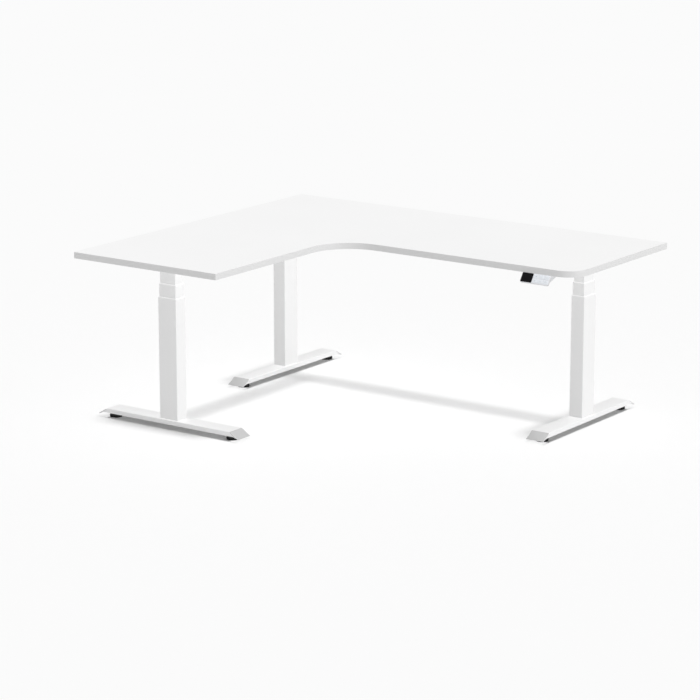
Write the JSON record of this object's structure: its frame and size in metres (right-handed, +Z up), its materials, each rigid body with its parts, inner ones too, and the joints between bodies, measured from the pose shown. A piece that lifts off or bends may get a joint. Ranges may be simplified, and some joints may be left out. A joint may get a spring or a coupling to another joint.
{
  "type": "height adjustable standing desk",
  "caption": "L-shaped standing desk: a white board with a curved inner corner on telescopic lifting columns with flat feet, and a push-button handset.",
  "frame": {"origin": "on the floor, under the middle of the desk's rectangular outline, feet included", "axes": "+X along the main wing to its free end, +Y to the back edge, +Z up"},
  "size_m": [1.862, 1.572, 0.717],
  "materials": {
    "white_frame_paint": "white powder coat, fine satin texture",
    "white_board": "matt white laminate on particle board",
    "white_edge_band": "matt white edge band",
    "collar_plastic": "white moulded nylon",
    "glide_plastic": "black moulded plastic",
    "screw_steel": "greased bright steel",
    "zinc_steel": "zinc plated",
    "motor_metal": "die cast, as cast",
    "control_box_plastic": "black, fine spark texture",
    "lead_sheath": "black matt sheath",
    "handset_plastic": "pale cool white, satin",
    "key_plastic": "pale blue-grey white, satin",
    "display_window": "black gloss window"
  },
  "bodies": {
    "base": {"return_foot": "white_frame_paint", "return_outer_tube": "white_frame_paint", "corner_foot": "white_frame_paint", "corner_outer_tube": "white_frame_paint", "main_foot": "white_frame_paint", "main_outer_tube": "white_frame_paint", "outer_collars": "collar_plastic", "lower_nuts": "screw_steel", "foot_bolts": "zinc_steel"},
    "top": {"return_inner_tube": "white_frame_paint", "return_motor_housing": "white_frame_paint", "return_support_arm": "white_frame_paint", "corner_inner_tube": "white_frame_paint", "corner_motor_housing": "white_frame_paint", "corner_support_arm": "white_frame_paint", "main_inner_tube": "white_frame_paint", "main_motor_housing": "white_frame_paint", "main_support_arm": "white_frame_paint", "motors": "motor_metal", "main_beam_tube": "white_frame_paint", "main_beam_slider": "white_frame_paint", "return_beam_tube": "white_frame_paint", "return_beam_slider": "white_frame_paint", "frame_bolts": "zinc_steel", "board_screws": "zinc_steel", "desktop_board": "white_board", "edge_band": "white_edge_band", "control_box": "control_box_plastic", "mains_inlet": "control_box_plastic", "control_leads": "lead_sheath", "cable_clips": "collar_plastic", "handset_housing": "handset_plastic", "handset_display": "display_window"},
    "return_middle_stage": {"return_middle_tube": "white_frame_paint", "return_middle_collar": "collar_plastic", "return_nut_tube": "screw_steel"},
    "return_hollow_screw": {"return_hollow_screw": "screw_steel"},
    "return_drive_screw": {"return_drive_screw": "screw_steel"},
    "return_front_glide": {"return_front_glide": "glide_plastic"},
    "return_rear_glide": {"return_rear_glide": "glide_plastic"},
    "corner_middle_stage": {"corner_middle_tube": "white_frame_paint", "corner_middle_collar": "collar_plastic", "corner_nut_tube": "screw_steel"},
    "corner_hollow_screw": {"corner_hollow_screw": "screw_steel"},
    "corner_drive_screw": {"corner_drive_screw": "screw_steel"},
    "corner_front_glide": {"corner_front_glide": "glide_plastic"},
    "corner_rear_glide": {"corner_rear_glide": "glide_plastic"},
    "main_middle_stage": {"main_middle_tube": "white_frame_paint", "main_middle_collar": "collar_plastic", "main_nut_tube": "screw_steel"},
    "main_hollow_screw": {"main_hollow_screw": "screw_steel"},
    "main_drive_screw": {"main_drive_screw": "screw_steel"},
    "main_front_glide": {"main_front_glide": "glide_plastic"},
    "main_rear_glide": {"main_rear_glide": "glide_plastic"},
    "up_key": {"up_key": "key_plastic"},
    "down_key": {"down_key": "key_plastic"},
    "preset_one_key": {"preset_one_key": "key_plastic"},
    "preset_two_key": {"preset_two_key": "key_plastic"},
    "preset_three_key": {"preset_three_key": "key_plastic"},
    "memory_key": {"memory_key": "key_plastic"}
  },
  "joints": [
    {"name": "height", "type": "slide", "parent": "base", "child": "top", "axis": [0, 0, 1], "range_m": [-0.104, 0.546]},
    {"name": "return_middle_lift", "type": "slide", "parent": "base", "child": "return_middle_stage", "axis": [0, 0, 1], "range_m": [-0.052, 0.273]},
    {"name": "return_hollow_screw_turn", "type": "hinge", "parent": "return_middle_stage", "child": "return_hollow_screw", "pos_m": [-0.578, -0.545, 0.3], "axis": [0, 0, 1], "range_deg": [-1880, 9840]},
    {"name": "return_drive_screw_turn", "type": "hinge", "parent": "top", "child": "return_drive_screw", "pos_m": [-0.578, -0.545, 0.3], "axis": [0, 0, 1], "range_deg": [-1880, 9840]},
    {"name": "return_front_level", "type": "slide", "parent": "base", "child": "return_front_glide", "axis": [0, 0, -1], "range_m": [0, 0.01]},
    {"name": "return_rear_level", "type": "slide", "parent": "base", "child": "return_rear_glide", "axis": [0, 0, -1], "range_m": [0, 0.01]},
    {"name": "corner_middle_lift", "type": "slide", "parent": "base", "child": "corner_middle_stage", "axis": [0, 0, 1], "range_m": [-0.052, 0.273]},
    {"name": "corner_hollow_screw_turn", "type": "hinge", "parent": "corner_middle_stage", "child": "corner_hollow_screw", "pos_m": [-0.749, 0.433, 0.3], "axis": [0, 0, 1], "range_deg": [-1880, 9840]},
    {"name": "corner_drive_screw_turn", "type": "hinge", "parent": "top", "child": "corner_drive_screw", "pos_m": [-0.749, 0.433, 0.3], "axis": [0, 0, 1], "range_deg": [-1880, 9840]},
    {"name": "corner_front_level", "type": "slide", "parent": "base", "child": "corner_front_glide", "axis": [0, 0, -1], "range_m": [0, 0.01]},
    {"name": "corner_rear_level", "type": "slide", "parent": "base", "child": "corner_rear_glide", "axis": [0, 0, -1], "range_m": [0, 0.01]},
    {"name": "main_middle_lift", "type": "slide", "parent": "base", "child": "main_middle_stage", "axis": [0, 0, 1], "range_m": [-0.052, 0.273]},
    {"name": "main_hollow_screw_turn", "type": "hinge", "parent": "main_middle_stage", "child": "main_hollow_screw", "pos_m": [0.719, 0.433, 0.3], "axis": [0, 0, 1], "range_deg": [-1880, 9840]},
    {"name": "main_drive_screw_turn", "type": "hinge", "parent": "top", "child": "main_drive_screw", "pos_m": [0.719, 0.433, 0.3], "axis": [0, 0, 1], "range_deg": [-1880, 9840]},
    {"name": "main_front_level", "type": "slide", "parent": "base", "child": "main_front_glide", "axis": [0, 0, -1], "range_m": [0, 0.01]},
    {"name": "main_rear_level", "type": "slide", "parent": "base", "child": "main_rear_glide", "axis": [0, 0, -1], "range_m": [0, 0.01]},
    {"name": "up_press", "type": "slide", "parent": "top", "child": "up_key", "axis": [0, 0.829, -0.5592], "range_m": [0, 0.0008], "stiffness_N_per_m": 400, "springref_m": -0.001},
    {"name": "down_press", "type": "slide", "parent": "top", "child": "down_key", "axis": [0, 0.829, -0.5592], "range_m": [0, 0.0008], "stiffness_N_per_m": 400, "springref_m": -0.001},
    {"name": "preset_one_press", "type": "slide", "parent": "top", "child": "preset_one_key", "axis": [0, 0.829, -0.5592], "range_m": [0, 0.0008], "stiffness_N_per_m": 400, "springref_m": -0.001},
    {"name": "preset_two_press", "type": "slide", "parent": "top", "child": "preset_two_key", "axis": [0, 0.829, -0.5592], "range_m": [0, 0.0008], "stiffness_N_per_m": 400, "springref_m": -0.001},
    {"name": "preset_three_press", "type": "slide", "parent": "top", "child": "preset_three_key", "axis": [0, 0.829, -0.5592], "range_m": [0, 0.0008], "stiffness_N_per_m": 400, "springref_m": -0.001},
    {"name": "memory_press", "type": "slide", "parent": "top", "child": "memory_key", "axis": [0, 0.829, -0.5592], "range_m": [0, 0.0008], "stiffness_N_per_m": 400, "springref_m": -0.001}
  ],
  "couplings": [
    {"joint": "return_middle_lift", "follows": "height", "ratio": 0.5},
    {"joint": "return_hollow_screw_turn", "follows": "height", "rad_per_m": 314.16},
    {"joint": "return_drive_screw_turn", "follows": "height", "rad_per_m": 314.16},
    {"joint": "corner_middle_lift", "follows": "height", "ratio": 0.5},
    {"joint": "corner_hollow_screw_turn", "follows": "height", "rad_per_m": 314.16},
    {"joint": "corner_drive_screw_turn", "follows": "height", "rad_per_m": 314.16},
    {"joint": "main_middle_lift", "follows": "height", "ratio": 0.5},
    {"joint": "main_hollow_screw_turn", "follows": "height", "rad_per_m": 314.16},
    {"joint": "main_drive_screw_turn", "follows": "height", "rad_per_m": 314.16}
  ]
}
